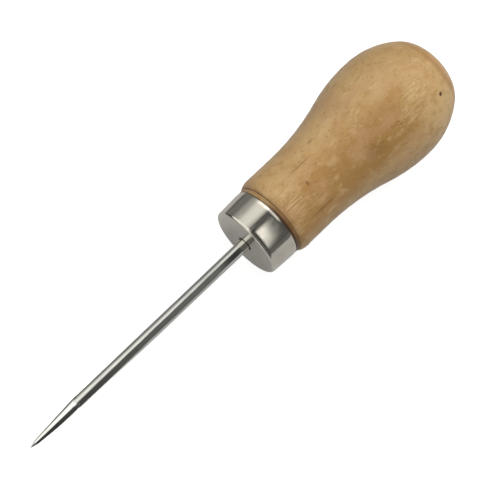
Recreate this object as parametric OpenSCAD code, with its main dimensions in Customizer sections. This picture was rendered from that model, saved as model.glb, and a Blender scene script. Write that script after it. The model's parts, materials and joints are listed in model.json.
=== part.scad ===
// Round-pointed bradawl: a turned wooden handle, a drawn metal ferrule and a steel blade.
// The tool lies on a bench at z = 0, resting on the edge of its ferrule and on the swell of its
// handle. The point faces -X, and the origin is under the middle of the tool.
// Outlines are lists of [distance along the tool's axis, radius]. Distances start at the
// ferrule's front face and grow towards the butt, so the point is at a negative one.

/* [Blade] */
// Diameter of the round shank
shank_d = 3; // [2:0.1:3.2]
// Length of blade that stands out of the ferrule
blade_out = 67.1; // [40:0.1:110]
// Length of the ground point, from full diameter to the sharp end
point_len = 13.8; // [6:0.1:25]
// Length of the last and rounder part of the point
nose_len = 2.6; // [1.2:0.1:5]
// Diameter where the long taper meets the rounder nose
nose_d = 1.3; // [0.8:0.05:1.8]
// Length of the tang, from the ferrule's face to its hidden end
tang_len = 36; // [24:0.5:44]
// Diameter of the tang at its hidden end, to which it tapers from the shank
tang_end_d = 2.4; // [1.6:0.1:2.8]
// Chamfer round the tang's hidden end
tang_chamfer = 0.4; // [0.1:0.1:0.7]
// Distance across the two ears squeezed out of the tang, which stop it turning
ear_span = 4.6; // [3.4:0.1:6]
// Thickness of the ears
ear_thick = 0.9; // [0.5:0.1:1.4]
// Length of the ears along the tang
ear_len = 7; // [5:0.5:12]
// Length over which each end of an ear slopes up
ear_ramp = 1.8; // [0.5:0.1:2.4]
// Distance from the ears to the tang's hidden end
ear_from_end = 3; // [1:0.5:10]

/* [Ferrule] */
// Outer diameter at the closed front end, where the side would meet the face
ferrule_front_d = 18.3; // [17:0.1:19]
// Outer diameter at the open rear end
ferrule_rear_d = 18.9; // [18.3:0.1:19.2]
// Length of the ferrule
ferrule_len = 7.5; // [5:0.1:14]
// Thickness of the drawn metal
ferrule_wall = 0.6; // [0.3:0.05:0.9]
// Outside radius of the corner between the face and the side
ferrule_corner_r = 0.7; // [0.65:0.05:2]
// Diameter of the hole that the blade passes through
ferrule_hole_d = 3.4; // [3.3:0.1:5]
// Radius of the pierced hole's front edge
hole_edge_r = 0.2; // [0.05:0.05:0.3]
// Radius of the rear rim's outer edge
rim_edge_r = 0.2; // [0.05:0.05:0.3]

/* [Handle] */
// Length of wood that shows behind the ferrule
wood_len = 57.3; // [52:0.1:90]
// Diameter of the narrow band of wood that the ferrule's rim bears on
band_d = 18.8; // [17.9:0.1:19]
// Length of that band
band_len = 1; // [0.2:0.1:2]
// Length over which the wood rounds up from the band to the neck
shoulder_len = 2.5; // [1:0.1:6]
// Diameter of the plain neck
neck_d = 20.6; // [19.5:0.1:25]
// Diameter at the fattest place of the swell
swell_d = 29.2; // [26:0.1:34]
// Radius of the hollow curve from the neck
flare_r = 65; // [30:1:80]
// Radius of the full curve up to the fattest place
swell_r = 44; // [20:1:60]
// Distance from the fattest place to the end of the butt
butt_len = 16.4; // [15:0.1:20]
// Radius of the butt's curve beside the fattest place
butt_side_r = 21; // [18:0.5:24]
// Radius of the tighter curve round the edge of the butt
butt_edge_r = 8; // [5:0.5:9]
// Radius of the low dome at the end of the butt
butt_dome_r = 19; // [16:0.5:24]

/* [Fits] */
// Gap all round between the tang and its socket in the wood
tang_gap = 0.05; // [0.02:0.01:0.1]
// Gap between the wooden spigot and the inside of the ferrule
spigot_gap = 0.05; // [0.02:0.01:0.1]
// Depth of the drilled socket beyond the end of the tang
socket_spare = 1.5; // [0.5:0.1:4]

/* [Hidden] */
$fn = 96;

// Furthest that a chord between two points of an arc may lie inside the arc
arc_slack = 0.004;
// Angle between the socket's axis and the sloping end that its drill leaves, in degrees
drill_half_angle = 59;

shank_r = shank_d / 2;
nose_r = nose_d / 2;
tang_end_r = tang_end_d / 2;
tip_x = -blade_out;
ear_end_x = tang_len - ear_from_end;
ear_start_x = ear_end_x - ear_len;

// The ferrule's side leans out by this angle towards its open end
ferrule_draft = atan2((ferrule_rear_d - ferrule_front_d) / 2, ferrule_len);
spigot_x = ferrule_wall + spigot_gap;

neck_r = neck_d / 2;
swell_x = ferrule_len + wood_len - butt_len;
// Turn of the flare, which is also the turn of the swell's front, so that the two arcs meet in line
flare_turn = acos(1 - (swell_d - neck_d) / 2 / (flare_r + swell_r));
flare_x = swell_x - (flare_r + swell_r) * sin(flare_turn);

// Centres of the butt's three arcs. The edge arc touches the other two from inside, so its
// centre lies at known distances from both of theirs.
side_centre = [swell_x, swell_d / 2 - butt_side_r];
dome_centre = [swell_x + butt_len - butt_dome_r, 0];
edge_centre = meeting(side_centre, butt_side_r - butt_edge_r, dome_centre, butt_dome_r - butt_edge_r);

// Angles at which the edge arc starts and ends, from the tool's axis
side_to_edge = direction(edge_centre - side_centre);
edge_to_dome = direction(edge_centre - dome_centre);

function direction(v) = atan2(v.y, v.x);

// Points of an arc about a centre, from one angle to another
function arc(centre, r, from, to) =
    let (n = ceil(abs(to - from) / (2 * acos(1 - arc_slack / r))))
    [for (i = [0:n]) let (a = from + (to - from) * i / n) centre + r * [cos(a), sin(a)]];

// The outer one of the two points that lie at distance ra from a and rb from b
function meeting(a, ra, b, rb) =
    let (
        along = (b - a) / norm(b - a),
        reach = (ra * ra - rb * rb + norm(b - a) * norm(b - a)) / 2 / norm(b - a),
        rise = sqrt(ra * ra - reach * reach),
        across = [along.y, -along.x]
    )
    a + reach * along + rise * (across.y > 0 ? across : -across);

function reversed(points) = [for (i = [1:len(points)]) points[len(points) - i]];

// Radius of the tapering tang at a distance behind the ferrule's face
function tang_r(x) = shank_r + (tang_end_r - shank_r) * x / tang_len;

// The nose: an arc that starts on the axis at the sharp end and meets the long taper in line
nose_lean = atan2(shank_r - nose_r, point_len - nose_len);
nose_arc_r = (nose_len * nose_len + nose_r * nose_r)
    / 2 / (nose_r * cos(nose_lean) - nose_len * sin(nose_lean));
nose_centre = [
    tip_x + nose_len + nose_arc_r * sin(nose_lean),
    nose_r - nose_arc_r * cos(nose_lean)
];
nose_outline = arc(
    nose_centre, nose_arc_r,
    direction([tip_x, 0] - nose_centre), direction([tip_x + nose_len, nose_r] - nose_centre)
);

shank_outline = [
    [tip_x + point_len, shank_r],
    [0, shank_r]
];

tang_outline = [
    [tang_len - tang_chamfer, tang_r(tang_len - tang_chamfer)],
    [tang_len, tang_end_r - tang_chamfer],
    [tang_len, 0]
];

blade_outline = concat(nose_outline, shank_outline, tang_outline);

// Radius of the ferrule at a distance behind its face, taken in by some thickness of metal
function ferrule_r(x, inset) =
    ferrule_front_d / 2 + x * tan(ferrule_draft) - inset / cos(ferrule_draft);

// The ferrule's corner, taken in by some thickness of metal
function ferrule_corner(inset) =
    arc(
        [ferrule_corner_r, ferrule_r(ferrule_corner_r, ferrule_corner_r)],
        ferrule_corner_r - inset, 180, 90 + ferrule_draft
    );

ferrule_outline = concat(
    arc([hole_edge_r, ferrule_hole_d / 2 + hole_edge_r], hole_edge_r, 270, 180),
    ferrule_corner(0),
    arc(
        [ferrule_len - rim_edge_r, ferrule_r(ferrule_len - rim_edge_r, rim_edge_r)],
        rim_edge_r, 90 + ferrule_draft, 0
    ),
    [[ferrule_len, ferrule_r(ferrule_len, ferrule_wall)]],
    reversed(ferrule_corner(ferrule_wall)),
    [[ferrule_wall, ferrule_hole_d / 2]]
);

// The wood inside the ferrule, with a chamfer as wide as the corner that it clears
spigot_outline = [
    [spigot_x, 0],
    [spigot_x, ferrule_r(spigot_x, ferrule_corner_r + spigot_gap)],
    [ferrule_corner_r + spigot_gap, ferrule_r(ferrule_corner_r, ferrule_wall + spigot_gap)],
    [ferrule_len, ferrule_r(ferrule_len, ferrule_wall + spigot_gap)]
];

// A plain band, and then a shoulder that is a quarter of an ellipse, up to the neck
band_r = band_d / 2;
band_end_x = ferrule_len + band_len;
shoulder_rise = neck_r - band_r;
shoulder_outline = concat(
    [[ferrule_len, band_r]],
    [
        for (p = arc([band_end_x + shoulder_len, 0], shoulder_len, 180, 90))
            [p.x, band_r + shoulder_rise * p.y / shoulder_len]
    ]
);

grip_outline = concat(
    arc([flare_x, neck_r + flare_r], flare_r, -90, -90 + flare_turn),
    arc([swell_x, swell_d / 2 - swell_r], swell_r, 90 + flare_turn, 90),
    arc(side_centre, butt_side_r, 90, side_to_edge),
    arc(edge_centre, butt_edge_r, side_to_edge, edge_to_dome),
    arc(dome_centre, butt_dome_r, edge_to_dome, 0)
);

handle_outline = concat(spigot_outline, shoulder_outline, grip_outline);

// The socket follows the tang with a gap, and ends in the slope that the drill leaves
socket_end_r = tang_r(tang_len + socket_spare) + tang_gap;
socket_outline = [
    [0, 0],
    [0, tang_r(0) + tang_gap],
    [tang_len + socket_spare, socket_end_r],
    [tang_len + socket_spare + socket_end_r / tan(drill_half_angle), 0]
];

// How the tool lies: it rests on the edge of the ferrule's face and on the swell, on either side
// of its centre of mass, and the point stays just clear of the bench. Of all the lines that touch
// the grip from a place in front of it, the one along the bench is the flattest.
fore_outline = concat(nose_outline, shank_outline, ferrule_corner(0), shoulder_outline);
lie = min([for (f = fore_outline) max([for (g = grip_outline) direction(g - f)])]);
bench = min([for (p = concat(fore_outline, grip_outline)) p.x * sin(lie) - p.y * cos(lie)]);
front = min([for (p = nose_outline) p.x * cos(lie) - p.y * sin(lie)]);
back = max([for (p = grip_outline) p.x * cos(lie) + p.y * sin(lie)]);

// Takes a piece from the tool's own axis, along X, to its place on the bench
module on_bench() {
    translate([-(front + back) / 2, 0, -bench])
        rotate([0, -lie, 0])
            children();
}

// A solid turned about the tool's axis from an outline
module turned(outline) {
    rotate([0, 90, 0])
        rotate_extrude()
            polygon([for (p = outline) [p.y, p.x]]);
}

// Both ears in one flat blank that crosses the tang
module ear_blank() {
    reach = ear_span / 2;
    rotate([90, 0, 0])
        linear_extrude(height = ear_thick, center = true)
            polygon([
                [ear_start_x, 0],
                [ear_start_x + ear_ramp, reach],
                [ear_end_x - ear_ramp, reach],
                [ear_end_x, 0],
                [ear_end_x - ear_ramp, -reach],
                [ear_start_x + ear_ramp, -reach]
            ]);
}

// The straight slot that the ears cut in the wood on their way in
module ear_slot() {
    slot_w = ear_thick + 2 * tang_gap;
    slot_h = ear_span + 2 * tang_gap;
    translate([0, -slot_w / 2, -slot_h / 2])
        cube([ear_end_x + tang_gap, slot_w, slot_h]);
}

// Turned hardwood, with a spigot for the ferrule and a blind socket for the tang
module handle() {
    color([0.76, 0.6, 0.4])
        on_bench()
            difference() {
                turned(handle_outline);
                turned(socket_outline);
                ear_slot();
            }
}

// Thin metal drawn into a cup, plated, and pressed on the spigot up to the shoulder
module ferrule() {
    color([0.74, 0.73, 0.7])
        on_bench()
            turned(ferrule_outline);
}

// One length of steel rod: point, shank and tang
module blade() {
    color([0.6, 0.61, 0.62])
        on_bench()
            union() {
                turned(blade_outline);
                ear_blank();
            }
}

handle();
ferrule();
blade();
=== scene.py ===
"""A bradawl lying on a bench: a turned wooden handle, a plated ferrule and a steel blade.

Sizes along and across the tool are in millimetres. They start at the middle of the ferrule's front
face, with x along the tool's axis towards the butt, y level and z square to both. Each piece is
placed in the frame's metres when its mesh is made.
"""
import json
import math

import bpy
import numpy as np
from mathutils import Matrix, Vector


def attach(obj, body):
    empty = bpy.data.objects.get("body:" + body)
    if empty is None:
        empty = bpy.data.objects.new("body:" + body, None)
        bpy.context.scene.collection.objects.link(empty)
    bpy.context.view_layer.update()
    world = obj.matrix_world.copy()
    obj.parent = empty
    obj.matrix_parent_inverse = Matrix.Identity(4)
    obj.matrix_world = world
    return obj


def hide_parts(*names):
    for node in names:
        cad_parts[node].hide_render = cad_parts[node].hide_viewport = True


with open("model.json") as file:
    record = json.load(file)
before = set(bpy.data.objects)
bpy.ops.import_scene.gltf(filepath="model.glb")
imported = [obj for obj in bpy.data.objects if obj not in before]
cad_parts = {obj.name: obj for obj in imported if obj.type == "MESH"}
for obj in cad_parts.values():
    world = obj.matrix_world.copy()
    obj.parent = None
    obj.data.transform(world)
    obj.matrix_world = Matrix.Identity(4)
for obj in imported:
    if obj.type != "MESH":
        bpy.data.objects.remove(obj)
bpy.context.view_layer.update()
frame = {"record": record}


# Handle
# One piece of pale, close-grained hardwood, turned, sanded and dipped in a satin lacquer. Its front
# is cut down to a spigot for the ferrule, and a blind hole with a slot takes the tang and its ears.

mounts = {mount["name"]: mount for mount in frame["record"]["mounts"]}
shank = mounts["shank"]
neck = mounts["neck"]

tool_axis = -np.array(shank["axis"])
level_axis = np.array([0.0, 1.0, 0.0])
upright_axis = np.cross(tool_axis, level_axis)
METRES_PER_MM = 0.001
face_centre = np.array(shank["pos_m"]) + tool_axis * shank["dims"]["length_mm"] / 2 * METRES_PER_MM

ferrule_length = 7.5
band_radius = 9.4
band_length = 1.0
shoulder_length = 2.5
neck_radius = neck["dims"]["r_mm"]
neck_end = ferrule_length + band_length + shoulder_length + neck["dims"]["length_mm"]
swell_radius = 14.6
flare_curve = 65.0
swell_curve = 44.0
wood_end = 64.8
butt_length = 16.4
butt_side_curve = 21.0
butt_edge_curve = 8.0
butt_dome_curve = 19.0
spigot_start = 0.65
spigot_corner = 0.1
spigot_radius = 8.56
socket_radius = 1.55
socket_end_radius = 1.2
socket_depth = 37.5
drill_slope = 59.0
slot_end = 33.05
slot_half_width = 0.5
slot_half_height = 2.35


def arc(centre, radius, start, stop, spacing):
    """Places on a circle of that radius about a centre, evenly turned from one angle to another."""
    count = max(3, math.ceil(abs(math.radians(stop - start)) * radius / spacing))
    angle = np.radians(np.linspace(start, stop, count + 1))
    return np.column_stack([centre[0] + radius * np.cos(angle), centre[1] + radius * np.sin(angle)])


def straight(start, stop, spacing):
    """Places on the straight line from one place to another, evenly spaced."""
    count = max(1, math.ceil(math.dist(start, stop) / spacing))
    share = np.linspace(0, 1, count + 1)[:, None]
    return np.array(start) * (1 - share) + np.array(stop) * share


def touching_centre(first, first_reach, second, second_reach):
    """The place at given distances from two centres, to the right of the way from one to the other."""
    first, second = np.array(first), np.array(second)
    apart = np.linalg.norm(second - first)
    along = (second - first) / apart
    reach = (first_reach**2 - second_reach**2 + apart**2) / 2 / apart
    across = np.array([along[1], -along[0]])
    return first + reach * along + math.sqrt(first_reach**2 - reach**2) * across


def angle_of(vector):
    """Which way a step points, in degrees from the x axis."""
    return math.degrees(math.atan2(vector[1], vector[0]))


def joined(*lines):
    """One outline from several, without the places that two neighbours share."""
    outline = np.concatenate(lines)
    kept = np.concatenate([[True], np.linalg.norm(np.diff(outline, axis=0), axis=1) > 1e-6])
    return outline[kept]


def skin(name, places, corners, sides, crease):
    """An object from places on the tool, the faces' corners in a row and each face's count of them."""
    turned = np.stack([tool_axis, level_axis, upright_axis])
    world = face_centre + METRES_PER_MM * places @ turned
    mesh = bpy.data.meshes.new(name)
    mesh.vertices.add(len(world))
    mesh.vertices.foreach_set("co", world.astype(np.float32).ravel())
    mesh.loops.add(len(corners))
    mesh.loops.foreach_set("vertex_index", corners.astype(np.int32))
    mesh.polygons.add(len(sides))
    mesh.polygons.foreach_set("loop_start", np.concatenate([[0], np.cumsum(sides)[:-1]]).astype(np.int32))
    mesh.update(calc_edges=True)
    mesh.validate()
    mesh.shade_smooth()
    mesh.set_sharp_from_angle(angle=math.radians(crease))
    piece = bpy.data.objects.new(name, mesh)
    bpy.context.scene.collection.objects.link(piece)
    return piece


def turned_grid(rings, columns, shape):
    """Rings of places round the axis: (x, r cos turn, r sin turn), with r worked by the shape."""
    turn = np.repeat(np.linspace(0, 2 * math.pi, columns, endpoint=False)[None, :], len(rings), axis=0)
    x = np.repeat(rings[:, :1], columns, axis=1)
    radius = shape(x, np.repeat(rings[:, 1:], columns, axis=1), turn)
    return np.stack([x, radius * np.cos(turn), radius * np.sin(turn)], axis=-1).reshape(-1, 3)


def turned_piece(name, outline, columns, shape, crease=40.0):
    """A closed skin turned about the tool's axis, in even steps. The outline's first and last places
    lie on the axis, and a fan of faces closes the skin there."""
    rings = outline[1:-1]
    ends = np.array([[outline[0, 0], 0, 0], [outline[-1, 0], 0, 0]])
    places = np.concatenate([turned_grid(rings, columns, shape), ends])
    here = np.arange(columns)
    there = (here + 1) % columns
    first = (np.arange(len(rings) - 1) * columns)[:, None]
    quads = np.stack([first + here, first + there, first + columns + there, first + columns + here], axis=-1)
    front, back = len(places) - 2, len(places) - 1
    last = (len(rings) - 1) * columns
    front_fan = np.stack([np.full(columns, front), there, here], axis=-1)
    back_fan = np.stack([np.full(columns, back), last + here, last + there], axis=-1)
    corners = np.concatenate([quads.ravel(), front_fan.ravel(), back_fan.ravel()])
    sides = np.concatenate([np.full(quads.size // 4, 4), np.full(2 * columns, 3)])
    return skin(name, places, corners, sides, crease)


def round_the_tool(turn, place_turn):
    """Angle from a place round the tool, the short way, in radians."""
    return (turn - math.radians(place_turn) + math.pi) % (2 * math.pi) - math.pi


def hollow(x, radius, turn, place, place_turn, half_length, half_width, depth):
    """Depth of a shallow oval hollow: a bell curve of the distance from its middle."""
    along = (x - place) / half_length
    across = round_the_tool(turn, place_turn) * radius / half_width
    return depth * np.exp(-(along**2) - across**2)


swell_place = wood_end - butt_length
flare_turn = math.degrees(math.acos(1 - (swell_radius - neck_radius) / (flare_curve + swell_curve)))
side_centre = np.array([swell_place, swell_radius - butt_side_curve])
dome_centre = np.array([wood_end - butt_dome_curve, 0.0])
edge_centre = touching_centre(
    side_centre, butt_side_curve - butt_edge_curve, dome_centre, butt_dome_curve - butt_edge_curve
)
side_to_edge = angle_of(edge_centre - side_centre)
edge_to_dome = angle_of(edge_centre - dome_centre)
band_end = ferrule_length + band_length
shoulder_end = band_end + shoulder_length
skin_spacing = 0.27
band_spacing = 0.06
hidden_spacing = 1.6
shoulder_turn = np.radians(np.linspace(0, 90, 16))
shoulder = np.column_stack([
    shoulder_end - shoulder_length * np.cos(shoulder_turn),
    band_radius + (neck_radius - band_radius) * np.sin(shoulder_turn),
])
handle_outline = joined(
    [[socket_depth + socket_end_radius / math.tan(math.radians(drill_slope)), 0]],
    straight((socket_depth, socket_end_radius), (slot_end, socket_end_radius), hidden_spacing),
    straight((slot_end, socket_end_radius), (spigot_start, socket_radius), hidden_spacing),
    straight((spigot_start, socket_radius), (spigot_start, spigot_radius - spigot_corner), hidden_spacing),
    straight((spigot_start + spigot_corner, spigot_radius), (ferrule_length, spigot_radius), hidden_spacing),
    straight((ferrule_length, spigot_radius), (ferrule_length, band_radius), skin_spacing),
    straight((ferrule_length, band_radius), (band_end, band_radius), band_spacing),
    shoulder,
    straight((shoulder_end, neck_radius), (neck_end, neck_radius), skin_spacing),
    arc((neck_end, neck_radius + flare_curve), flare_curve, -90, -90 + flare_turn, skin_spacing),
    arc((swell_place, swell_radius - swell_curve), swell_curve, 90 + flare_turn, 90, skin_spacing),
    arc(side_centre, butt_side_curve, 90, side_to_edge, skin_spacing),
    arc(edge_centre, butt_edge_curve, side_to_edge, edge_to_dome, skin_spacing),
    arc(dome_centre, butt_dome_curve, edge_to_dome, 0, skin_spacing),
)
handle_outline[-1, 1] = 0

handle_facets = 288
turning_ring_depth = 0.012
sanding_depth = 0.035
pin_knot = (55.8, 140.5)
pin_knot_pit = (0.45, 0.3, 0.35)
brown_fleck = (17.65, 112.1)
brown_fleck_pit = (0.3, 0.7, 0.08)
groove_place = 8.44
groove_half_width = 0.13
groove_depth = 0.08
dent_count = 26
dent_chance = np.random.default_rng(11)
dents = np.column_stack([
    dent_chance.uniform(14, 60, dent_count),
    dent_chance.uniform(0, 360, dent_count),
    dent_chance.uniform(0.5, 1.8, dent_count),
    dent_chance.uniform(0.3, 0.8, dent_count),
    dent_chance.uniform(0.015, 0.05, dent_count),
])


def worked_wood(x, radius, turn):
    """The radius less the turner's faint rings, a slow unevenness from sanding, the line cut at the
    shoulder's foot, the pits of a pin knot and a fleck, and small dents. The socket widens into the
    slot for the ears: there the radius is that of a rectangle's edge, the half side over the cosine
    or the sine."""
    rings = turning_ring_depth * (1 + np.sin(2.1 * x + 0.8 * np.sin(0.31 * x))) * (x > shoulder_end)
    waves = np.sin(2 * turn + 0.09 * x) * np.cos(0.17 * x + turn)
    uneven = sanding_depth * (1 + waves) * (x > shoulder_end)
    line = groove_depth * np.exp(-(((x - groove_place) / groove_half_width) ** 2))
    marks = hollow(x, radius, turn, *pin_knot, *pin_knot_pit)
    marks = marks + hollow(x, radius, turn, *brown_fleck, *brown_fleck_pit)
    for place, place_turn, half_length, half_width, depth in dents:
        marks = marks + hollow(x, radius, turn, place, place_turn, half_length, half_width, depth)
    outside = (radius > spigot_radius + 0.01) & (x >= ferrule_length) | (x > socket_depth + 5)
    axis_fade = np.clip(radius / 2, 0, 1)
    worked = radius - np.where(outside, (rings + uneven + line + marks) * axis_fade, 0)
    beside = slot_half_width / np.maximum(np.abs(np.cos(turn)), 1e-6)
    above = slot_half_height / np.maximum(np.abs(np.sin(turn)), 1e-6)
    in_socket = (radius < socket_radius + 1e-6) & (x < slot_end + 1e-6)
    return np.where(in_socket, np.maximum(radius, np.minimum(beside, above)), worked)


handle = turned_piece("handle_wood", handle_outline, handle_facets, worked_wood)


def fill(tree, node, values):
    """Sets a node's unlinked values, and links a socket to it where a value is a socket."""
    for key, value in values.items():
        if isinstance(value, bpy.types.NodeSocket):
            tree.links.new(value, node.inputs[key])
        else:
            node.inputs[key].default_value = value
    return node


def add(tree, kind, values, **settings):
    """A shader node with its settings, values and links."""
    node = tree.nodes.new(kind)
    for key, value in settings.items():
        setattr(node, key, value)
    return fill(tree, node, values)


def use_group(tree, group, values):
    """A node that puts a group to use, with its values and links."""
    return fill(tree, add(tree, "ShaderNodeGroup", {}, node_tree=group), values)


def new_group(name, inputs, outputs):
    """A shader node group with named inputs (socket kind and value) and named outputs."""
    group = bpy.data.node_groups.new(name, "ShaderNodeTree")
    for label, kind, value in inputs:
        group.interface.new_socket(label, in_out="INPUT", socket_type=kind).default_value = value
    for label, kind in outputs:
        group.interface.new_socket(label, in_out="OUTPUT", socket_type=kind)
    return group, group.nodes.new("NodeGroupInput"), group.nodes.new("NodeGroupOutput")


def maths(tree, operation, *values):
    """The result of one sum on values or sockets."""
    return add(tree, "ShaderNodeMath", dict(enumerate(values)), operation=operation).outputs[0]


def mapped(tree, value, low, high, to_low=0.0, to_high=1.0):
    """A value carried from one range to another by an easy curve, level past both ends."""
    ranges = {"Value": value, "From Min": low, "From Max": high, "To Min": to_low, "To Max": to_high}
    return add(tree, "ShaderNodeMapRange", ranges, interpolation_type="SMOOTHSTEP").outputs["Result"]


def blended(tree, mask, first, second):
    """The second colour over the first, where the mask is 1."""
    return add(tree, "ShaderNodeMix", {0: mask, 6: first, 7: second}, data_type="RGBA").outputs[2]


def noise(tree, place, stretch, scale, detail, roughness, offset=(0, 0, 0), turn=(0, 0, 0)):
    """Soft noise at a scale per unit, on coordinates stretched, turned and moved first."""
    spread = {"Vector": place, "Scale": stretch, "Rotation": turn, "Location": offset}
    vector = add(tree, "ShaderNodeMapping", spread).outputs["Vector"]
    settings = {"Vector": vector, "Scale": scale, "Detail": detail, "Roughness": roughness}
    return add(tree, "ShaderNodeTexNoise", settings).outputs["Fac"]


def new_material(name):
    """A material with its node tree and the one shader in it."""
    material = bpy.data.materials.new(name)
    material.use_nodes = True
    tree = material.node_tree
    tree.nodes.clear()
    shader = add(tree, "ShaderNodeBsdfPrincipled", {})
    add(tree, "ShaderNodeOutputMaterial", {"Surface": shader.outputs["BSDF"]})
    return material, tree, shader


def spot(tree, place, centre, size, softness):
    """A mask of an oval spot: 1 inside, falling to 0 past the edge by the softness."""
    shifted = add(tree, "ShaderNodeVectorMath", {0: place, 1: centre}, operation="SUBTRACT")
    scaled = add(tree, "ShaderNodeVectorMath", {0: shifted.outputs[0], 1: size}, operation="DIVIDE")
    far = add(tree, "ShaderNodeVectorMath", {0: scaled.outputs[0]}, operation="LENGTH")
    return mapped(tree, far.outputs["Value"], 1 - softness, 1 + softness, 1, 0)


def on_skin(x, turn, radius):
    """A place on the handle's skin, from its distance behind the face, its turn and its radius."""
    angle = math.radians(turn)
    return (x, radius * math.cos(angle), radius * math.sin(angle))


# Where a point lies on the tool, in millimetres: object coordinates turned by the tool's lean and
# moved to the ferrule's face.
tool_place, _, group_end = new_group("place_on_the_tool", [], [("Place", "NodeSocketVector")])
to_tool = np.stack([tool_axis, level_axis, upright_axis])
settings = {
    "Vector": add(tool_place, "ShaderNodeTexCoord", {}).outputs["Object"],
    "Location": Vector(-(to_tool @ face_centre) / METRES_PER_MM),
    "Rotation": (0, math.atan2(tool_axis[2], tool_axis[0]), 0),
    "Scale": (1 / METRES_PER_MM,) * 3,
}
fill(tool_place, group_end, {"Place": add(tool_place, "ShaderNodeMapping", settings).outputs["Vector"]})

honey = (0.505, 0.308, 0.117, 1)
pale_honey = (0.57, 0.378, 0.172, 1)
deep_honey = (0.34, 0.175, 0.042, 1)
rosy_honey = (0.50, 0.29, 0.14, 1)
pale_fibre = (0.72, 0.53, 0.29, 1)
brown_pore = (0.17, 0.075, 0.022, 1)
dark_knot_and_shade = (0.085, 0.036, 0.014, 1)

wood, tree, shader = new_material("lacquered_hardwood")
place = use_group(tree, tool_place, {}).outputs["Place"]
along = add(tree, "ShaderNodeSeparateXYZ", {"Vector": place}).outputs["X"]
to_the_side = add(tree, "ShaderNodeVectorMath", {0: place, 1: (0, -0.92, -0.39)}, operation="DOT_PRODUCT")
to_the_side = to_the_side.outputs["Value"]
clouds = noise(tree, place, (0.55, 1, 1), 0.12, 3, 0.55)
patches = noise(tree, place, (0.75, 1, 1), 0.42, 4, 0.62, offset=(7, 3, 1))
blush = noise(tree, place, (0.5, 1, 1), 0.22, 2, 0.5, offset=(21, 4, 8))
fibres = noise(tree, place, (0.06, 1, 1), 4.2, 4, 0.6)
fine_fibres = noise(tree, place, (0.09, 1, 1), 9.0, 2, 0.5, offset=(3, 8, 2))
flecks = noise(tree, place, (0.5, 1, 1), 1.9, 2, 0.6, offset=(11, 5, 9))
pores = noise(tree, place, (0.16, 1, 1), 5.5, 1, 0.4, offset=(2, 6, 4))
hatching = noise(tree, place, (0.05, 1, 1), 3.1, 2, 0.5, offset=(17, 1, 6))
hatch_fields = noise(tree, place, (0.6, 1, 1), 0.13, 1, 0.4, offset=(29, 12, 4))

# Painted shade, partly the wood's own darker tone: the neck is darker on its lower near side and
# the butt on its upper far side.
lower_side_shade_and_tone = maths(tree, "MULTIPLY", mapped(tree, to_the_side, -7, 2), mapped(tree, along, 54, 42))
butt_far_side_shade_and_tone = maths(tree, "MULTIPLY", mapped(tree, to_the_side, 4, -6), mapped(tree, along, 42, 52))
# Painted highlight: a pale spot on the butt, on the side that faces the camera and the light.
painted_butt_highlight = spot(tree, place, on_skin(54.0, 132.0, 13.0), (8.0, 9.0, 9.0), 0.6)
colour = blended(tree, mapped(tree, clouds, 0.36, 0.64), honey, pale_honey)
colour = blended(tree, maths(tree, "MULTIPLY", lower_side_shade_and_tone, 0.88), colour, deep_honey)
colour = blended(tree, maths(tree, "MULTIPLY", butt_far_side_shade_and_tone, 0.6), colour, deep_honey)
colour = blended(tree, maths(tree, "MULTIPLY", painted_butt_highlight, 0.35), colour, pale_honey)
# Painted reflection: both long edges of the handle are paler, like the white room glancing off the lacquer.
colour = blended(tree, mapped(tree, to_the_side, 7.5, 10.5, 0, 0.6), colour, pale_honey)
colour = blended(tree, mapped(tree, to_the_side, -5, -10, 0, 0.4), colour, pale_honey)
colour = blended(tree, mapped(tree, patches, 0.5, 0.66, 0, 0.42), colour, deep_honey)
colour = blended(tree, mapped(tree, patches, 0.47, 0.34, 0, 0.5), colour, pale_honey)
colour = blended(tree, mapped(tree, blush, 0.5, 0.7, 0, 0.6), colour, rosy_honey)
colour = blended(tree, mapped(tree, fibres, 0.52, 0.74, 0, 0.28), colour, deep_honey)
colour = blended(tree, mapped(tree, fine_fibres, 0.46, 0.28, 0, 0.22), colour, pale_fibre)

# Where the tools tore or rubbed the fibres, short pale and dark lines lie close together.
hatch_mask = mapped(tree, hatch_fields, 0.62, 0.74, 0, 0.7)
worn_fields = (
    ((46.0, 134.5), 14.4, (6.5, 2.0, 2.0)),
    ((51.0, 118.0), 14.3, (4.0, 2.2, 2.2)),
    ((41.0, 69.0), 14.2, (2.6, 1.2, 1.2)),
    ((11.6, 112.8), neck_radius, (2.6, 2.6, 2.6)),
)
for field_place, field_radius, field_size in worn_fields:
    field = spot(tree, place, on_skin(*field_place, field_radius), field_size, 0.35)
    hatch_mask = maths(tree, "MAXIMUM", hatch_mask, field)
pale_hatch = maths(tree, "MULTIPLY", mapped(tree, hatching, 0.52, 0.62), hatch_mask)
dark_hatch = maths(tree, "MULTIPLY", mapped(tree, hatching, 0.44, 0.36), hatch_mask)
colour = blended(tree, maths(tree, "MULTIPLY", pale_hatch, 0.36), colour, pale_fibre)
colour = blended(tree, maths(tree, "MULTIPLY", dark_hatch, 0.18), colour, brown_pore)
colour = blended(tree, mapped(tree, flecks, 0.61, 0.7, 0, 0.4), colour, brown_pore)
pore_mask = mapped(tree, pores, 0.68, 0.76)
colour = blended(tree, maths(tree, "MULTIPLY", pore_mask, 0.36), colour, brown_pore)

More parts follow.
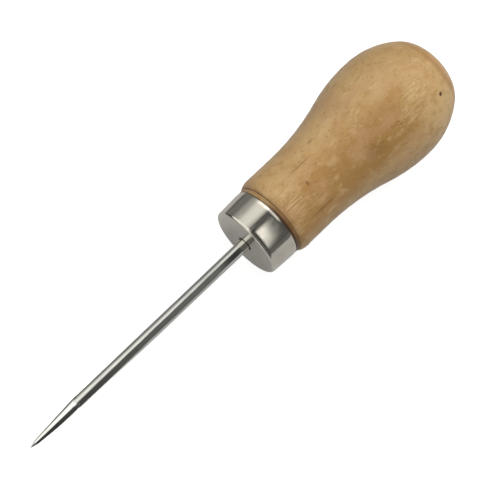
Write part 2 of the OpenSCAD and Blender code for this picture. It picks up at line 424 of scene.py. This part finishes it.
# Single marks: two dark fibres, a smudge on the swell, the dark edge of the butt's end grain.
dark_marks = (
    ((19.6, 88.0), neck_radius, (3.4, 0.22, 0.22), 0.45),
    ((17.5, 150.8), neck_radius, (3.4, 0.3, 0.3), 0.55),
    ((34.4, 137.6), 12.6, (2.6, 1.6, 1.6), 0.3),
    ((25.8, 73.9), 10.6, (0.9, 0.4, 0.4), 0.5),
    ((43.5, 70.5), 14.3, (1.8, 0.16, 0.16), 0.45),
)
for mark_place, mark_radius, mark_size, strength in dark_marks:
    mark = spot(tree, place, on_skin(*mark_place, mark_radius), mark_size, 0.5)
    colour = blended(tree, maths(tree, "MULTIPLY", mark, strength), colour, brown_pore)
end_grain = mapped(tree, maths(tree, "ABSOLUTE", maths(tree, "SUBTRACT", along, 60.3)), 1.4, 0.2)
end_grain = maths(tree, "MULTIPLY", end_grain, mapped(tree, blush, 0.35, 0.6, 0.3, 0.65))
colour = blended(tree, end_grain, colour, deep_honey)

knot_mask = spot(tree, place, on_skin(*pin_knot, 13.2), (0.58, 0.46, 0.46), 0.35)
fleck_mask = spot(tree, place, on_skin(*brown_fleck, neck_radius), (0.34, 0.62, 0.5), 0.5)
colour = blended(tree, knot_mask, colour, dark_knot_and_shade)
colour = blended(tree, maths(tree, "MULTIPLY", fleck_mask, 0.75), colour, brown_pore)
# Painted shade, partly stain: the band of wood behind the ferrule's rim is darkened like a contact shadow,
# darkest at the rim and on the lower near side.
near_side_shade_and_stain = mapped(tree, to_the_side, -5.5, 0.5, 0.35, 1.0)
rim_band_shade_and_stain = mapped(tree, along, ferrule_length + 1.05, ferrule_length + 0.4)
colour = blended(tree, maths(tree, "MULTIPLY", rim_band_shade_and_stain, near_side_shade_and_stain), colour, dark_knot_and_shade)
# Painted shade: a thin dark line in the groove at the shoulder's foot.
from_line = maths(tree, "ABSOLUTE", maths(tree, "SUBTRACT", along, groove_place))
colour = blended(tree, mapped(tree, from_line, 0.22, 0.06, 0, 0.3), colour, dark_knot_and_shade)

grain_height = maths(tree, "MULTIPLY_ADD", fibres, 0.5, maths(tree, "MULTIPLY", fine_fibres, 0.25))
grain_height = maths(tree, "SUBTRACT", grain_height, maths(tree, "MULTIPLY", pore_mask, 0.6))
grain_height = maths(tree, "SUBTRACT", grain_height, maths(tree, "MULTIPLY", dark_hatch, 0.5))
grain_bump = add(tree, "ShaderNodeBump", {"Height": grain_height, "Strength": 0.5, "Distance": 0.00006})
fill(tree, shader, {
    "Base Color": colour,
    "Roughness": mapped(tree, patches, 0.3, 0.7, 0.4, 0.5),
    "Specular IOR Level": 0.4,
    "Coat Weight": 0.25,
    "Coat Roughness": 0.28,
    "Normal": grain_bump.outputs["Normal"],
})
handle.data.materials.append(wood)
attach(handle, "root")
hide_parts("handle")


# Ferrule
# A cup drawn from thin steel sheet and nickel plated, with a hole pierced in its face for the blade.
# It is pressed on the spigot until its rim meets the band of wood.

ferrule_front_radius = 9.15
ferrule_rear_radius = 9.45
ferrule_wall = 0.6
corner_curve = 0.7
hole_radius = 1.7
hole_edge_curve = 0.2
rim_edge_curve = 0.2
ferrule_slope = math.atan2(ferrule_rear_radius - ferrule_front_radius, ferrule_length)
rim_start = ferrule_length - rim_edge_curve
edge_spacing = 0.04
inner_corner_spacing = 0.08
face_spacing = 0.25
side_spacing = 0.12
wall_spacing = 0.2
inside_spacing = 0.8
ferrule_facets = 384
barrel_height = 0.035
rim_turned_in = 0.12
rim_turned_length = 1.1
out_of_true = 0.006
polish_depth = 0.004


def ferrule_radius(x, inset):
    """Radius of the leaning side at a distance behind the face, taken in by some thickness."""
    return ferrule_front_radius + x * math.tan(ferrule_slope) - inset / math.cos(ferrule_slope)


corner_centre = (corner_curve, ferrule_radius(corner_curve, corner_curve))
side_turn = 90 + math.degrees(ferrule_slope)
outer_corner = arc(corner_centre, corner_curve, 180, side_turn, edge_spacing)
inner_corner = arc(corner_centre, corner_curve - ferrule_wall, side_turn, 180, inner_corner_spacing)
rim_centre = (rim_start, ferrule_radius(rim_start, rim_edge_curve))
outer_rim = arc(rim_centre, rim_edge_curve, side_turn, 0, edge_spacing)
inner_rim = (ferrule_length, ferrule_radius(ferrule_length, ferrule_wall))
hole_edge = (hole_edge_curve, hole_radius + hole_edge_curve)
ferrule_outline = joined(
    arc(hole_edge, hole_edge_curve, 270, 180, edge_spacing),
    straight((0, hole_edge[1]), outer_corner[0], face_spacing),
    outer_corner,
    straight(outer_corner[-1], outer_rim[0], side_spacing),
    outer_rim,
    straight(outer_rim[-1], inner_rim, wall_spacing),
    straight(inner_rim, inner_corner[0], inside_spacing),
    inner_corner,
    straight(inner_corner[-1], (ferrule_wall, hole_radius), inside_spacing),
    straight((ferrule_wall, hole_radius), (hole_edge_curve, hole_radius), wall_spacing),
)


def turned_ring(name, outline, columns, shape, crease=40.0):
    """A closed ring turned about the tool's axis, from an outline that ends where it starts."""
    rings = outline[:-1]
    here = np.arange(columns)
    there = (here + 1) % columns
    first = (np.arange(len(rings)) * columns)[:, None]
    second = (np.roll(np.arange(len(rings)), -1) * columns)[:, None]
    corners = np.stack([first + here, first + there, second + there, second + here], axis=-1).ravel()
    sides = np.full(len(corners) // 4, 4)
    return skin(name, turned_grid(rings, columns, shape), corners, sides, crease)


def drawn_metal(x, radius, turn):
    """The side bulged a little between corner and rim, by a half wave, turned in at the rim and very
    slightly out of true round the tool. Polishing took a hair off the outside, and inner walls keep
    their radii."""
    share = np.clip((x - corner_curve) / (rim_start - corner_curve), 0, 1)
    barrel = barrel_height * np.sin(math.pi * share)
    rim = rim_turned_in * np.clip((x - ferrule_length + rim_turned_length) / rim_turned_length, 0, 1) ** 2
    uneven = out_of_true * (1 + np.sin(3 * turn + 1.1)) * np.sin(math.pi * share)
    outer = (radius > ferrule_radius(x, ferrule_wall / 2)) & (x > corner_curve)
    polished = polish_depth * (radius > ferrule_front_radius - corner_curve)
    return radius - polished + np.where(outer, barrel - rim - uneven, 0)


ferrule = turned_ring("ferrule_cup", ferrule_outline, ferrule_facets, drawn_metal)

# Marks that both metals have: fine lines along a stretch, specks and slow clouds of tarnish.
metal_marks, group_start, group_end = new_group(
    "metal_marks",
    [("Place", "NodeSocketVector", (0, 0, 0)), ("Line Scale", "NodeSocketFloat", 6.0)],
    [("Lines", "NodeSocketFloat"), ("Specks", "NodeSocketFloat"), ("Tarnish", "NodeSocketFloat")],
)
place = group_start.outputs["Place"]
lines = noise(metal_marks, place, (0.05, 1, 1), group_start.outputs["Line Scale"], 3, 0.6)
specks = noise(metal_marks, place, (0.7, 1, 1), 6.5, 2, 0.5)
tarnish = noise(metal_marks, place, (0.5, 1, 1), 0.4, 4, 0.6)
fill(metal_marks, group_end, {
    "Lines": lines, "Specks": mapped(metal_marks, specks, 0.7, 0.78), "Tarnish": tarnish,
})

nickel = (0.66, 0.625, 0.55, 1)
dull_nickel = (0.52, 0.49, 0.43, 1)
grime_and_shade = (0.075, 0.065, 0.05, 1)
plate, tree, shader = new_material("nickel_plate")
place = use_group(tree, tool_place, {}).outputs["Place"]
marks = use_group(tree, metal_marks, {"Place": place, "Line Scale": 5.0}).outputs
parts = add(tree, "ShaderNodeSeparateXYZ", {"Vector": place}).outputs
level_square = maths(tree, "POWER", parts["Y"], 2.0)
out = maths(tree, "SQRT", maths(tree, "MULTIPLY_ADD", parts["Z"], parts["Z"], level_square))
scuffs = noise(tree, place, (0.12, 1, 1), 5.0, 3, 0.6, turn=(0.4, 0.5, 0.2))
colour = blended(tree, mapped(tree, marks["Tarnish"], 0.45, 0.75, 0, 0.6), nickel, dull_nickel)
# Painted shade: the face is darkened in a ring round the hole, where the blade goes in.
hole_shade = mapped(tree, out, hole_radius + 0.45, hole_radius + 0.1, 0, 0.85)
hole_shade = maths(tree, "MULTIPLY", hole_shade, mapped(tree, parts["X"], 0.7, 0.3))
colour = blended(tree, hole_shade, colour, grime_and_shade)
colour = blended(tree, maths(tree, "MULTIPLY", marks["Specks"], 0.3), colour, grime_and_shade)
scuff_height = maths(tree, "MULTIPLY_ADD", scuffs, 0.5, maths(tree, "MULTIPLY", marks["Specks"], 0.3))
scuff_bump = add(tree, "ShaderNodeBump", {"Height": scuff_height, "Strength": 0.25, "Distance": 0.00002})
tarnish_roughness = mapped(tree, marks["Tarnish"], 0.3, 0.7, 0.07, 0.12)
satin_face = mapped(tree, parts["X"], 0.35, 0.1, 0, 0.12)
plate_roughness = maths(tree, "ADD", tarnish_roughness, satin_face)
fill(tree, shader, {
    "Base Color": colour,
    "Metallic": 1.0,
    "Roughness": maths(tree, "ADD", plate_roughness, mapped(tree, scuffs, 0.55, 0.75, 0, 0.1)),
    "Normal": scuff_bump.outputs["Normal"],
})
ferrule.data.materials.append(plate)
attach(ferrule, "root")
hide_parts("ferrule")


# Blade
# One length of drawn steel rod, ground to a long taper with a rounder nose and polished lengthwise.
# Its tang is squeezed into two ears, pushed through the ferrule's hole and pressed into the wood.

shank_radius = shank["dims"]["r_mm"]
blade_length = 67.1
point_length = 13.8
nose_length = 2.6
nose_radius = 0.65
tang_length = 36.0
tang_end_radius = 1.2
tang_chamfer = 0.4
ear_reach = 2.3
ear_half_thickness = 0.45
ear_start = 26.0
ear_end = 33.0
ear_ramp = 1.8
nose_spacing = 0.1
taper_spacing = 0.15
rod_spacing = 0.3
chamfer_spacing = 0.2
end_spacing = 0.5
blade_facets = 144
wheel_flat_count = 5
wheel_flat_share = 0.014
wheel_flat_swing = 0.012
grind_fade = 0.5
grind_groove_depth = 0.022
grind_groove_half_width = 0.3
tip = -blade_length
nose_lean = math.atan2(shank_radius - nose_radius, point_length - nose_length)
nose_curve = (nose_length**2 + nose_radius**2) / 2 / (
    nose_radius * math.cos(nose_lean) - nose_length * math.sin(nose_lean)
)
nose_end = (tip + nose_length, nose_radius)
nose_centre = np.array(nose_end) + nose_curve * np.array([math.sin(nose_lean), -math.cos(nose_lean)])
taper_end = (tip + point_length, shank_radius)
tang_corner = (tang_length - tang_chamfer, tang_end_radius)
tang_face = (tang_length, tang_end_radius - tang_chamfer)
nose_start_turn = angle_of((tip, 0) - nose_centre)
nose_end_turn = angle_of(nose_end - nose_centre)
blade_outline = joined(
    arc(nose_centre, nose_curve, nose_start_turn, nose_end_turn, nose_spacing),
    straight(nose_end, taper_end, taper_spacing),
    straight(taper_end, (0, shank_radius), rod_spacing),
    straight((0, shank_radius), tang_corner, rod_spacing),
    straight(tang_corner, tang_face, chamfer_spacing),
    straight(tang_face, (tang_length, 0), end_spacing),
)
blade_outline[0, 1] = 0
wheel_marks = np.random.default_rng(5).uniform(0, 2 * math.pi, wheel_flat_count + 1)


def ground_steel(x, radius, turn):
    """The radius less shallow flats from the grinding wheel, which fade in over an uneven line at the
    point's start, and less a fine groove along that line. Over the ears it is that of a flat plate's
    edge, the half side over the cosine or the sine, where that is outside the round tang."""
    ragged = point_length + 0.5 * np.sin(2 * turn + 0.6) + 0.25 * np.sin(5 * turn + 2.0)
    ragged = ragged + 0.2 * np.sin(11 * turn + 0.4) + 0.12 * np.sin(17 * turn + 1.7)
    ground = np.clip((tip + ragged - x) / grind_fade, 0, 1)
    flats = sum(np.cos((3 + i) * turn + wheel_marks[i]) for i in range(wheel_flat_count)) / wheel_flat_count
    wave = np.sin(0.9 * x + wheel_marks[-1]) * 0.5
    steel = radius * (1 - ground * (wheel_flat_share + wheel_flat_swing * (flats + 0.4 * wave)))
    groove = grind_groove_depth * np.exp(-(((x - tip - ragged) / grind_groove_half_width) ** 2))
    groove = groove * (1 + 0.6 * np.sin(7 * turn + 0.9))
    plate_reach = ear_reach * np.clip(np.minimum(x - ear_start, ear_end - x) / ear_ramp, 0, 1)
    above = plate_reach / np.maximum(np.abs(np.sin(turn)), 1e-6)
    beside = ear_half_thickness / np.maximum(np.abs(np.cos(turn)), 1e-6)
    return np.maximum(steel - groove, np.minimum(above, beside))


blade = turned_piece("blade_steel", blade_outline, blade_facets, ground_steel, crease=35.0)

polished_steel = (0.66, 0.655, 0.625, 1)
shadow_steel = (0.5, 0.495, 0.465, 1)
bright_steel = (0.76, 0.76, 0.735, 1)
steel, tree, shader = new_material("polished_rod")
place = use_group(tree, tool_place, {}).outputs["Place"]
marks = use_group(tree, metal_marks, {"Place": place, "Line Scale": 9.0}).outputs
along = add(tree, "ShaderNodeSeparateXYZ", {"Vector": place}).outputs["X"]
cross_lines = noise(tree, place, (1, 0.12, 0.12), 9.0, 3, 0.6)
edge_wobble = maths(tree, "MULTIPLY", noise(tree, place, (1, 1, 1), 0.8, 2, 0.5), 2.2)
from_tip = maths(tree, "SUBTRACT", maths(tree, "ADD", along, edge_wobble), tip)
ground_mask = mapped(tree, from_tip, point_length + 1.6, point_length + 0.8)
colour = blended(tree, mapped(tree, marks["Tarnish"], 0.4, 0.7, 0, 0.5), polished_steel, shadow_steel)
colour = blended(tree, mapped(tree, marks["Lines"], 0.54, 0.7, 0, 0.45), colour, shadow_steel)
colour = blended(tree, maths(tree, "MULTIPLY", marks["Specks"], 0.5), colour, shadow_steel)
colour = blended(tree, maths(tree, "MULTIPLY", ground_mask, 0.8), colour, bright_steel)
lengthwise = maths(tree, "MULTIPLY", marks["Lines"], maths(tree, "SUBTRACT", 1.0, ground_mask))
lines = maths(tree, "MULTIPLY_ADD", cross_lines, ground_mask, lengthwise)
line_bump = add(tree, "ShaderNodeBump", {"Height": lines, "Strength": 0.25, "Distance": 0.00002})
from_burr = maths(tree, "ABSOLUTE", maths(tree, "SUBTRACT", from_tip, point_length + 1.2))
burr_roughness = mapped(tree, from_burr, 0.7, 0.2, 0, 0.18)
fill(tree, shader, {
    "Base Color": colour,
    "Metallic": 1.0,
    "Roughness": maths(tree, "ADD", mapped(tree, lines, 0.3, 0.7, 0.07, 0.12), burr_roughness),
    "Normal": line_bump.outputs["Normal"],
})
blade.data.materials.append(steel)
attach(blade, "root")
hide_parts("blade")


# Bench
# A plain pale sheet that the tool lies on. The camera sees it white but for the tool's faint
# shadow; the metal sees it as it is lit.

bench_half = 9.0
bench_paper = (0.34, 0.34, 0.335, 1)
worn_paper = (0.32, 0.32, 0.315, 1)
camera_lift = 0.9
soft_lift = 0.22
bench_mesh = bpy.data.meshes.new("bench")
bench_corners = bench_half * np.array([(-1, -1, 0), (1, -1, 0), (1, 1, 0), (-1, 1, 0)])
bench_mesh.from_pydata(bench_corners.tolist(), [], [(0, 1, 2, 3)])
bench = bpy.data.objects.new("bench", bench_mesh)
bpy.context.scene.collection.objects.link(bench)
paper = bpy.data.materials.new("white_paper")
paper.use_nodes = True
tree = paper.node_tree
tree.nodes.clear()
on_bench = add(tree, "ShaderNodeTexCoord", {}).outputs["Object"]
fibre = noise(tree, on_bench, (1, 1, 1), 900.0, 2, 0.5)
tone = blended(tree, mapped(tree, fibre, 0.3, 0.7), bench_paper, worn_paper)
lit = add(tree, "ShaderNodeBsdfDiffuse", {"Color": tone}).outputs["BSDF"]
ray = add(tree, "ShaderNodeLightPath", {})
lift = maths(tree, "MULTIPLY_ADD", ray.outputs["Is Camera Ray"], camera_lift - soft_lift, soft_lift)
glow = add(tree, "ShaderNodeEmission", {"Color": (1, 1, 1, 1), "Strength": lift}).outputs["Emission"]
both = add(tree, "ShaderNodeAddShader", {0: lit, 1: glow}).outputs["Shader"]
add(tree, "ShaderNodeOutputMaterial", {"Surface": both})
bench_mesh.materials.append(paper)


# Light
# One large soft lamp overhead, in a white room, and a small spot lamp on the blade's near side. A
# painted dome, two low flags and curved cards round the tool, all seen only in reflections, give the
# metal its bright stripe and its dark bands.

softbox_place = (0.22, -0.16, 0.78)
softbox_power = 5.5
softbox_size = 0.45
room_strength = 0.3
spot_reach = np.array([0, -0.12, 0.3])
spot_power = 17.0
spot_spread = math.radians(5.6)

world = bpy.data.worlds.new("white_room")
bpy.context.scene.world = world
world.use_nodes = True
tree = world.node_tree
tree.nodes.clear()
ray = add(tree, "ShaderNodeLightPath", {}).outputs
mirrored = maths(tree, "MAXIMUM", ray["Is Glossy Ray"], ray["Is Transmission Ray"])
seen = maths(tree, "MAXIMUM", ray["Is Camera Ray"], mirrored)
white = mapped(tree, seen, 0, 1, room_strength)
room = add(tree, "ShaderNodeBackground", {"Color": (1, 1, 1, 1), "Strength": white})
add(tree, "ShaderNodeOutputWorld", {"Surface": room.outputs["Background"]})


def hung_lamp(name, kind, place, aim, power):
    """A lamp at a place that shines at its aim, and that metal doesn't mirror."""
    data = bpy.data.lights.new(name, kind)
    data.energy = power
    lamp = bpy.data.objects.new(name, data)
    lamp.location = place
    lamp.rotation_euler = Vector(np.array(aim) - np.array(place)).to_track_quat("-Z", "Y").to_euler()
    lamp.visible_glossy = False
    bpy.context.scene.collection.objects.link(lamp)
    return data


softbox = hung_lamp("overhead_softbox", "AREA", softbox_place, face_centre, softbox_power)
softbox.size = softbox_size
beside_point = face_centre + (tip + 17) * METRES_PER_MM * tool_axis + np.array([0, -0.007, -0.008])
point_lamp = hung_lamp("point_lamp", "SPOT", beside_point + spot_reach, beside_point, spot_power)
point_lamp.spot_size = spot_spread
point_lamp.spot_blend = 0.5
point_lamp.shadow_soft_size = 0.01

camera_side = math.radians(113.1)
dome_distance = 8.0
flag_distance = 0.085
flag_height = 0.018
flag_half_length = 0.3
flag_glow = 0.17


def ramp(value, low, high):
    """0 below the low value, 1 above the high one, and an easy curve between them."""
    share = np.clip((value - low) / (high - low), 0, 1)
    return share * share * (3 - 2 * share)


def studio_light(slant, turn):
    """How bright the room looks from the tool, in degrees: the slant is from square to the tool's
    axis towards the butt, the turn is about the axis from the camera's side. A bright card fills one
    side, more so towards the butt. The camera's side is dark but for a gap, which fades towards the
    butt, and for a strip that only the ferrule's rim shows. Low slants have their own levels."""
    stops = (-180, -130, -92, -84, -70, -58, -46, -36, -27, -21, 85, 100, 180)
    levels = (0.39, 0.22, 0.22, 0.39, 0.54, 0.92, 1.0, 0.98, 0.68, 0.11, 0.11, 0.31, 0.39)
    level = np.interp(turn, stops, levels)
    lamp_side = ramp(turn, -78, -58) * (1 - ramp(turn, -34, -20))
    level = level + 0.6 * lamp_side * ramp(slant, 12, 23)
    rim_side = ramp(turn, -44, -24) * (1 - ramp(turn, 8, 30))
    level = level + 0.8 * rim_side * ramp(slant, 18, 26)
    far_edge = np.interp(turn, (10, 45, 62), (12.5, 12.0, 11.6))
    gap = ramp(turn, -8, 0) * (1 - ramp(turn, 38, 68)) * (1 - ramp(slant, far_edge - 2.4, far_edge + 0.2))
    level = level + (1.8 - level) * gap * ramp(slant, 8.0, 9.0)
    low_stops = (-180, -130, -93, -84, -8, 3, 85, 100, 180)
    low_levels = (0.45, 0.08, 0.08, 1.3, 1.3, 0.04, 0.04, 0.35, 0.45)
    low = 1 - ramp(slant, 2.8, 9.8)
    return level + (np.interp(turn, low_stops, low_levels) - level) * low


card_paint = bpy.data.materials.new("painted_card")
card_paint.use_nodes = True
tree = card_paint.node_tree
tree.nodes.clear()
painted = add(tree, "ShaderNodeAttribute", {}, attribute_name="glow").outputs["Fac"]
card_glow = add(tree, "ShaderNodeEmission", {"Color": (1, 1, 0.97, 1), "Strength": painted})
add(tree, "ShaderNodeOutputMaterial", {"Surface": card_glow.outputs["Emission"]})


def reflected_card(name, places, across, glow):
    """A sheet from rows of so many places across, each as bright as its glow, seen only in gloss."""
    down = len(places) // across
    corner = (np.arange(down - 1)[:, None] * across + np.arange(across - 1)).reshape(-1, 1)
    faces = corner + np.array([0, 1, across + 1, across])
    mesh = bpy.data.meshes.new(name)
    mesh.from_pydata(places.tolist(), [], faces.tolist())
    mesh.attributes.new("glow", "FLOAT", "POINT").data.foreach_set("value", glow.astype(np.float32))
    mesh.materials.append(card_paint)
    card = bpy.data.objects.new(name, mesh)
    card.visible_camera = False
    card.visible_diffuse = False
    card.visible_shadow = False
    card.visible_transmission = False
    bpy.context.scene.collection.objects.link(card)


slants, turns = np.meshgrid(np.linspace(-88, 88, 177), np.linspace(-180, 180, 361), indexing="ij")
slope, angle = np.radians(slants), camera_side + np.radians(turns)
outward = np.stack([np.sin(slope), np.cos(slope) * np.cos(angle), np.cos(slope) * np.sin(angle)], axis=-1)
dome_places = face_centre + dome_distance * outward.reshape(-1, 3) @ to_tool
reflected_card("studio_dome", dome_places, turns.shape[1], studio_light(slants, turns).ravel())

flag_x = np.array([-1, 1, -1, 1]) * flag_half_length
flag_z = np.array([0.01, 0.01, 1, 1]) * flag_height
for name, flag_y in (("far_flag", flag_distance), ("near_flag", -flag_distance)):
    reflected_card(name, np.column_stack([flag_x, np.full(4, flag_y), flag_z]), 2, np.full(4, flag_glow))

# Curved cards round the axis, each a range of the tool's length, the turn of one long edge and the
# turns of the other at its two ends, a radius, and its brightness at five places along the tool.
# They darken the blade's edges and brighten its stripe.
level_places = (-60, -42, -30, -4, 1)
for name, start, stop, first_turn, last_turns, card_radius, levels in (
    ("blade_flag", -67, -4, 83, (0, -20), 25.0, (0.06, 0.1, 0.14, 0.2, 0.2)),
    ("corner_flag", -4, 4, -12, (70, 70), 25.0, (0.2, 0.2, 0.2, 0.2, 0.05)),
    ("blade_card", -62, -8, -54, (-20, -20), 25.0, (1.45, 1.35, 1.2, 1.0, 1.0)),
    ("low_flag", -53, -32, 70, (83, 95), 7.0, (0.08, 0.12, 0.5, 0.5, 0.5)),
    ("upper_flag", -68, -52, -97, (-132, -132), 2.4, (0.06, 0.06, 0.06, 0.06, 0.06)),
    ("under_flag", -66, -53, 45, (150, 57), 2.4, (0.05, 0.05, 0.05, 0.05, 0.05)),
    ("nose_flag", -84, -74, -30, (68, 68), 25.0, (0.05, 0.05, 0.05, 0.05, 0.05)),
):
    card_x, share = np.meshgrid(np.linspace(start, stop, 40), np.linspace(0, 1, 60), indexing="ij")
    last_turn = np.interp(card_x, (start, stop), last_turns)
    angle = camera_side + np.radians(first_turn + (last_turn - first_turn) * share)
    places = np.stack([card_x, card_radius * np.cos(angle), card_radius * np.sin(angle)], axis=-1)
    places = face_centre + METRES_PER_MM * places.reshape(-1, 3) @ to_tool
    reflected_card(name, places, card_x.shape[1], np.interp(card_x, level_places, levels).ravel())


# Camera
# Above the tool and a little towards its point, so that the ferrule's face shows.

camera_azimuth = math.radians(-44.067)
camera_elevation = math.radians(58.163)
camera_distance = 0.350
lens_length = 114.25
aim_place = face_centre - 0.44 * METRES_PER_MM * tool_axis
aim_right = -0.811 * METRES_PER_MM
aim_up = 1.182 * METRES_PER_MM
camera_roll = math.radians(-1.193)

level_across = np.array([math.cos(camera_azimuth), math.sin(camera_azimuth), 0])
ahead = np.array([
    -math.sin(camera_azimuth) * math.cos(camera_elevation),
    math.cos(camera_azimuth) * math.cos(camera_elevation),
    -math.sin(camera_elevation),
])
across = math.cos(camera_roll) * level_across + math.sin(camera_roll) * np.cross(level_across, ahead)
upwards = np.cross(across, ahead)
camera_data = bpy.data.cameras.new("camera")
camera_data.lens = lens_length
camera_data.clip_start = 0.02
camera_data.clip_end = 40.0
camera = bpy.data.objects.new("camera", camera_data)
camera.location = aim_place - camera_distance * ahead + aim_right * across + aim_up * upwards
camera.rotation_euler = Matrix(np.column_stack([across, upwards, -ahead]).tolist()).to_euler()
bpy.context.scene.collection.objects.link(camera)
bpy.context.scene.camera = camera
bpy.context.scene.view_settings.view_transform = "Standard"
